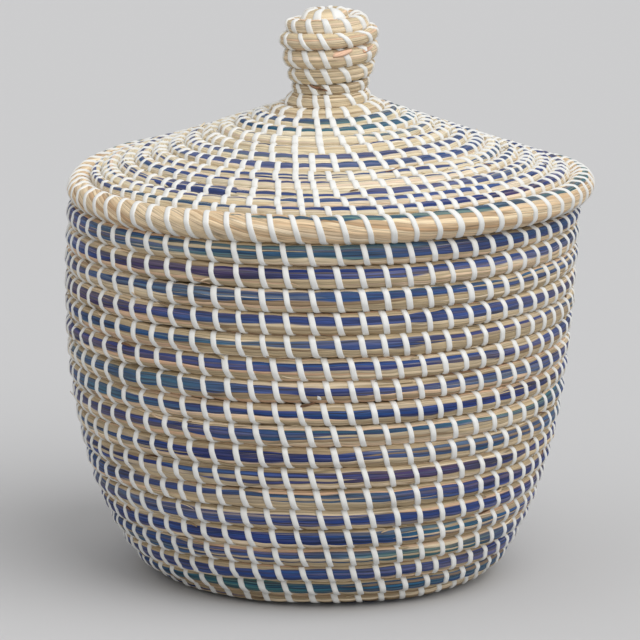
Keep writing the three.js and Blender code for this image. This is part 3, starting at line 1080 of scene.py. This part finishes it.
# Drawn ends: turns, two places on the way round, and ranges of their sizes in mm
BODY_LOOSE_TURNS = (8, 23.4)
LID_LOOSE_TURNS = (8.2, 17.4)
DRAWN_PLACE_SHARES = ((0.02, 0.12), (0.3, 0.44))
DRAWN_REACHES = (5, 12)
DRAWN_WIDTHS = (0.5, 1.8)
DRAWN_LIFTS = (0.1, 1.5)
DRAWN_VEERS = (-0.06, 0.06)


def unit(vectors):
    return vectors / np.linalg.norm(vectors, axis=1, keepdims=True)


def loose_end(coil, turn, around, reach, width, lift, veer):
    """Rows of points round a flat blade that comes out of a bundle and ends free."""
    share = np.linspace(0, 1, LOOSE_ROWS)
    turns = turn + share * (reach * MM) / (WHOLE_TURN * coil.at(coil.centre[:, 0], turn))
    arounds = around + share * share * veer
    height = lift * MM * share * share - LOOSE_ROOT * (1 - share) + coil.lumps(turns, arounds)
    middle = coil.surface(turns, arounds, height)
    sideways = unit(coil.surface(turns, arounds + ASIDE_SHARE, height) - middle)[:, None]
    above = unit(coil.surface(turns, arounds, height + MM) - middle)[:, None]
    side = np.arange(LOOSE_SIDES) / LOOSE_SIDES * WHOLE_TURN
    half = (width * MM / 2 * (1 - TIP_NARROWER_SHARE * share**4))[:, None] * np.cos(side)
    thick = LOOSE_THICK / 2 * np.sin(side)
    return middle[:, None] + sideways * half[..., None] + above * thick[None, :, None]


def drawn_ends(coil, turns, count, seed):
    """Ends that come out from under stitches here and there."""
    draw = np.random.default_rng(seed)
    for stitch in draw.integers(*np.searchsorted(coil.stitches, turns), count):
        around = draw.choice([draw.uniform(*places) for places in DRAWN_PLACE_SHARES])
        reach = draw.choice([-1, 1]) * draw.uniform(*DRAWN_REACHES)
        width = draw.uniform(*DRAWN_WIDTHS)
        lift = draw.uniform(*DRAWN_LIFTS)
        veer = draw.uniform(*DRAWN_VEERS)
        yield stitch_at(coil, stitch, around), around, reach, width, lift, veer


def add_loose(name, coil, ends, material, body, slot):
    """One piece of all the given ends."""
    rows = len(ends) * LOOSE_ROWS
    uv = folded_uv(rows, LOOSE_SIDES, LOOSE_ROWS, LOOSE_COLUMNS)
    grids = []
    for number, end in enumerate(ends):
        along = np.arange(LOOSE_ROWS) * GRASS_STEP + LOOSE_GRAIN_START + number
        grain = (along, np.arange(LOOSE_SIDES) * ASIDE_SHARE, np.zeros(LOOSE_ROWS))
        own = slice(number * LOOSE_ROWS, (number + 1) * LOOSE_ROWS - 1)
        grids.append((loose_end(coil, *end), uv[own], grain))
    undyed = no_dye(coil, np.zeros(rows * LOOSE_SIDES))
    add_piece(name, grids, undyed, material, body, slot)


pale_body_ends = PALE_ENDS + list(drawn_ends(body_coil, BODY_LOOSE_TURNS, count=240, seed=61))
brown_body_ends = list(drawn_ends(body_coil, BODY_LOOSE_TURNS, count=45, seed=63))
pale_lid_ends = list(drawn_ends(lid_coil, LID_LOOSE_TURNS, count=110, seed=62))
add_loose("body_loose_grass", body_coil, pale_body_ends, wall_grass, "basket", "dyed_grass")
add_loose("body_brown_grass", body_coil, brown_body_ends, brown_grass, "basket", "dyed_grass")
add_loose("body_loose_strip", body_coil, STRIP_ENDS, strip, "basket", "sewing_strip")
add_loose("lid_loose_grass", lid_coil, pale_lid_ends, lid_grass, "lid", "lid_grass")
add_loose("lid_brown_grass", lid_coil, BROWN_LID_ENDS, brown_grass, "lid", "lid_grass")
add_loose("knob_loose_grass", lid_coil, PEACH_ENDS, peach_grass, "lid", "plain_grass")

# Floor: its grey as seen and as it lights the box, and its reach
FLOOR_GREY = srgb(198, 198, 199)
BOUNCE_GREY = (0.4, 0.4, 0.4, 1)
FLOOR_REACH = 12
FLOOR_ROUGHNESS = 0.9

# Light from all round, and suns: share of the floor's light, degrees to the right, up and across
WORLD_STRENGTH = 0.56
SUNS = [
    ("high_sun", 0.03, 0, 85, 30), ("right_sun", 0.4, 50, 50, 60), ("left_sun", 0.05, -50, 50, 60),
    ("front_sun", 0.018, 10, 12, 40),
]


def make_floor():
    """A pale floor, which lights the box less than its own grey would."""
    mesh = bpy.data.meshes.new("floor")
    corners = [(x * FLOOR_REACH, y * FLOOR_REACH, 0) for x, y in ((-1, -1), (1, -1), (1, 1), (-1, 1))]
    mesh.from_pydata(corners, [], [range(len(corners))])
    floor = bpy.data.objects.new("floor", mesh)
    bpy.context.scene.collection.objects.link(floor)
    graph = Graph("pale_floor")
    rays = graph.node("LightPath").outputs
    seen = graph.math("MAXIMUM", rays["Is Camera Ray"], rays["Is Glossy Ray"])
    graph.feed(graph.shader.inputs["Base Color"], graph.mix(seen, BOUNCE_GREY, FLOOR_GREY))
    graph.feed(graph.shader.inputs["Roughness"], FLOOR_ROUGHNESS)
    mesh.materials.append(graph.material)


def make_sun(name, share, *degrees):
    """A soft sun that gives the floor a share of its light."""
    right, up, spread = np.radians(degrees)
    light = bpy.data.lights.new(name, "SUN")
    light.energy = share * math.pi / math.sin(up)
    light.angle = spread
    lamp = bpy.data.objects.new(name, light)
    towards = Vector((math.sin(right) * math.cos(up), -math.cos(right) * math.cos(up), math.sin(up)))
    lamp.rotation_euler = (-towards).to_track_quat("-Z", "Y").to_euler()
    bpy.context.scene.collection.objects.link(lamp)


def make_world():
    world = bpy.data.worlds.new("studio")
    world.use_nodes = True
    background = world.node_tree.nodes["Background"]
    background.inputs[0].default_value = (1, 1, 1, 1)
    background.inputs[1].default_value = WORLD_STRENGTH
    bpy.context.scene.world = world


make_floor()
make_world()
for sun in SUNS:
    make_sun(*sun)

# Camera, fitted to the photograph's outline
CAMERA_DISTANCE = 3.1
CAMERA_ELEVATION = math.radians(11.63)
CAMERA_ROLL = math.radians(0.75)
CAMERA_TARGET = Vector((-4.35 * MM, 0, 147.6 * MM))
FOCAL_PIXELS = 5310
PHOTO_PIXELS = 640
SENSOR_WIDTH = 36
FARTHEST_SEEN = 100


def make_camera():
    data = bpy.data.cameras.new("photo_camera")
    data.sensor_width = SENSOR_WIDTH
    data.lens = FOCAL_PIXELS / PHOTO_PIXELS * SENSOR_WIDTH
    data.clip_end = FARTHEST_SEEN
    camera = bpy.data.objects.new("photo_camera", data)
    back = Vector((0, -math.cos(CAMERA_ELEVATION), math.sin(CAMERA_ELEVATION)))
    place = Matrix.Translation(CAMERA_TARGET + back * CAMERA_DISTANCE)
    look = (-back).to_track_quat("-Z", "Y").to_matrix().to_4x4()
    camera.matrix_world = place @ look @ Matrix.Rotation(CAMERA_ROLL, 4, "Z")
    bpy.context.scene.collection.objects.link(camera)
    bpy.context.scene.camera = camera


make_camera()
bpy.context.scene.view_settings.view_transform = "Standard"
